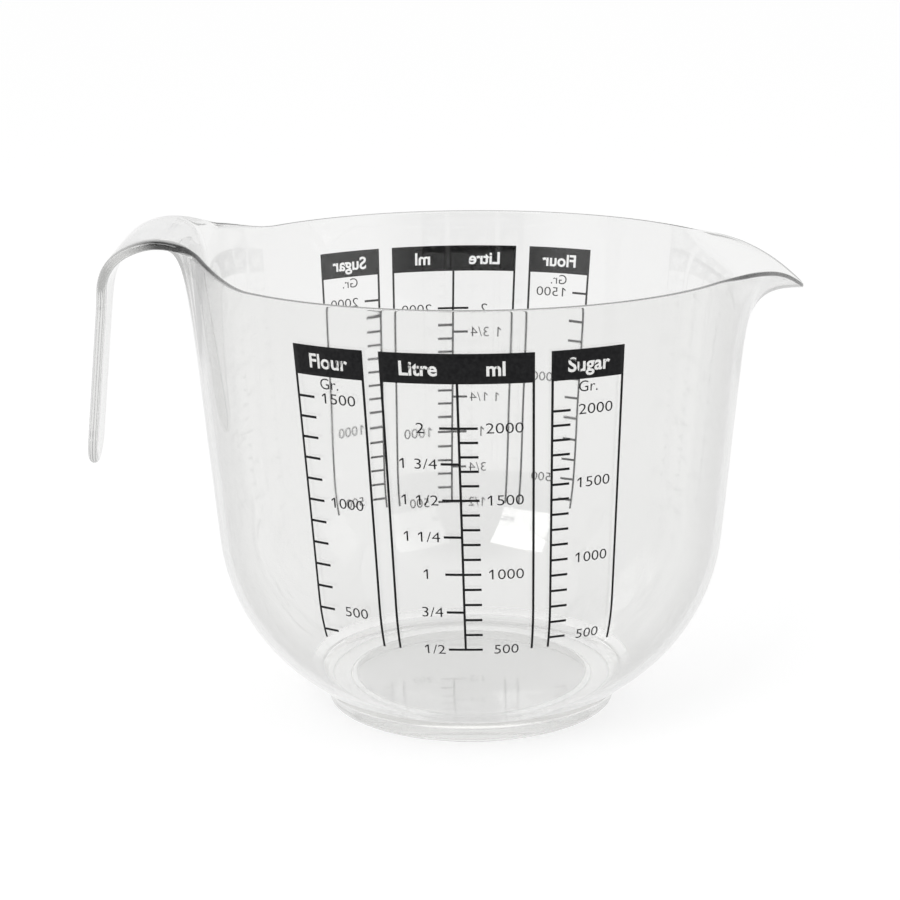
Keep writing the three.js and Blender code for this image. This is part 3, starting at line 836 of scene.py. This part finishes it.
def black_ink():
    """Black screen ink: dense, satin, a little uneven where the squeegee laid it down."""
    SATIN = (0.35, 0.55)
    material = bpy.data.materials.new("black_ink")
    material.use_nodes = True
    tree = material.node_tree
    shader = tree.nodes["Principled BSDF"]
    lay = place_uneven(tree, scale=900, detail=3)
    shade = tree.nodes.new("ShaderNodeValToRGB")
    shade.color_ramp.elements[0].position = 0.3
    shade.color_ramp.elements[0].color = (0.006, 0.006, 0.007, 1)
    shade.color_ramp.elements[1].position = 0.8
    shade.color_ramp.elements[1].color = (0.022, 0.022, 0.023, 1)
    tree.links.new(lay, shade.inputs["Fac"])
    tree.links.new(shade.outputs["Color"], shader.inputs["Base Color"])
    tree.links.new(carry_range(tree, lay, (0, 1), SATIN), shader.inputs["Roughness"])
    shader.inputs["Specular IOR Level"].default_value = 0.12
    return material


ink = black_ink()
side_start = (MIDDLE_PANEL / 2 + PANEL_SPACING) * print_radius
flour_marks = mark_heights(FLOUR_RANGE, FLOUR_DENSITY, FLOUR_START)
sugar_marks = mark_heights(SUGAR_RANGE, SUGAR_DENSITY, SUGAR_START)
for side, centre in PRINT_CENTRES.items():
    films = {
        "flour": weight_scale("Flour", -side_start - SIDE_PANEL * print_radius, flour_marks),
        "litre": volume_scale(),
        "sugar": weight_scale("Sugar", side_start, sugar_marks),
    }
    for scale, film in films.items():
        print_piece = smooth_piece(f"{scale}_print_{side}", lay_on_wall(film, centre))
        print_piece.data.materials.append(ink)
        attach(print_piece, "root")
        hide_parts(f"{scale}_scale_{side}")

# The studio is a plain pale table top in a white light tent that is open towards the camera, with two square
# soft boxes in front of it, one strong and one weak. The camera stands where the photograph was taken from,
# a little over seven tenths of a metre off.
CAMERA_BACK = 0.7292
CAMERA_HEIGHT = 0.2791
CAMERA_PITCH = 0.2619
CAMERA_YAW = -0.009
CAMERA_ROLL = -0.0078
JUG_TURN = radians(0.65)
CAMERA_LENS = 91.86
FLOOR_HALF = 6
SOFT_BOX_CLIMB = radians(36)
STRONG_BOX_SIDE = radians(-123)
STRONG_BOX_POWER = 3.8
WEAK_BOX_SIDE = radians(-58)
WEAK_BOX_POWER = 1


def photo_camera():
    """Camera at the photograph's place, turned about the jug by the small turn that the jug has there."""
    lens = bpy.data.cameras.new("camera")
    lens.lens = CAMERA_LENS
    lens.sensor_width = 36
    lens.clip_end = 50
    camera = bpy.data.objects.new("camera", lens)
    look = Matrix.Rotation(-CAMERA_YAW, 4, "Z") @ Matrix.Rotation(pi / 2 - CAMERA_PITCH, 4, "X")
    place = Matrix.Translation((0, -CAMERA_BACK, CAMERA_HEIGHT)) @ look @ Matrix.Rotation(CAMERA_ROLL, 4, "Z")
    camera.matrix_world = Matrix.Translation((jug_axis, 0, 0)) @ Matrix.Rotation(-JUG_TURN, 4, "Z") @ place
    bpy.context.scene.collection.objects.link(camera)
    bpy.context.scene.camera = camera


def seen_directly(tree):
    """Mask of the rays that show a background: from the camera, or by way of gloss or clear plastic."""
    path = tree.nodes.new("ShaderNodeLightPath")
    either = combine(tree, "MAXIMUM", path.outputs["Is Camera Ray"], path.outputs["Is Glossy Ray"])
    return combine(tree, "MAXIMUM", either, path.outputs["Is Transmission Ray"])


def pale_floor():
    """Table top, white to the camera apart from the jug's shadow."""
    top = bmesh.new()
    bmesh.ops.create_grid(top, x_segments=1, y_segments=1, size=FLOOR_HALF)
    floor = smooth_piece("table_top", top)
    material = bpy.data.materials.new("table_top")
    material.use_nodes = True
    nodes = material.node_tree.nodes
    links = material.node_tree.links
    nodes.remove(nodes["Principled BSDF"])
    matt = nodes.new("ShaderNodeBsdfDiffuse")
    matt.inputs["Color"].default_value = (0.8, 0.8, 0.8, 1)
    faint = nodes.new("ShaderNodeBsdfDiffuse")
    faint.inputs["Color"].default_value = (0.4, 0.4, 0.4, 1)
    glow = nodes.new("ShaderNodeEmission")
    glow.inputs["Strength"].default_value = 0.75
    both = nodes.new("ShaderNodeAddShader")
    links.new(faint.outputs["BSDF"], both.inputs[0])
    links.new(glow.outputs["Emission"], both.inputs[1])
    mix = nodes.new("ShaderNodeMixShader")
    links.new(seen_directly(material.node_tree), mix.inputs["Fac"])
    links.new(matt.outputs["BSDF"], mix.inputs[1])
    links.new(both.outputs["Shader"], mix.inputs[2])
    links.new(mix.outputs["Shader"], nodes["Material Output"].inputs["Surface"])
    floor.data.materials.append(material)


def soft_box(turn, power):
    """Square soft light over the table, facing the jug."""
    DISTANCE = 1.2
    SIDE = 0.55
    lamp = bpy.data.lights.new("soft_box", "AREA")
    lamp.shape = "SQUARE"
    lamp.size = SIDE
    lamp.energy = power
    light = bpy.data.objects.new("soft_box", lamp)
    target = Vector((jug_axis, 0, RIM_HEIGHT / 2))
    offset = upright(turn, DISTANCE * cos(SOFT_BOX_CLIMB), DISTANCE * sin(SOFT_BOX_CLIMB))
    light.location = target + offset
    light.rotation_euler = offset.to_track_quat("Z", "Y").to_euler()
    bpy.context.scene.collection.objects.link(light)


def studio_world():
    """White all round as in a light tent, with the dark room behind the camera's opening in it."""
    OPENING = (0, -0.94, 0.34)
    OPENING_EDGE = 0.70
    OPENING_INSIDE = 0.86
    ROOM_LIGHT = 0.05
    TENT_LIGHT = 0.7
    world = bpy.data.worlds.new("studio")
    bpy.context.scene.world = world
    world.use_nodes = True
    tree = world.node_tree
    place = tree.nodes.new("ShaderNodeTexCoord")
    towards = tree.nodes.new("ShaderNodeVectorMath")
    towards.operation = "DOT_PRODUCT"
    towards.inputs[1].default_value = OPENING
    tree.links.new(place.outputs["Generated"], towards.inputs[0])
    tent = carry_range(tree, towards.outputs["Value"], (OPENING_EDGE, OPENING_INSIDE), (1, ROOM_LIGHT))
    path = tree.nodes.new("ShaderNodeLightPath")
    shown = combine(tree, "MAXIMUM", path.outputs["Is Camera Ray"], tent)
    level = carry_range(tree, seen_directly(tree), (0, 1), (TENT_LIGHT, 1))
    around = tree.nodes["Background"]
    around.inputs["Color"].default_value = (1, 1, 1, 1)
    tree.links.new(combine(tree, "MULTIPLY", shown, level), around.inputs["Strength"])


photo_camera()
pale_floor()
soft_box(STRONG_BOX_SIDE, STRONG_BOX_POWER)
soft_box(WEAK_BOX_SIDE, WEAK_BOX_POWER)
studio_world()
bpy.context.scene.view_settings.view_transform = "Standard"
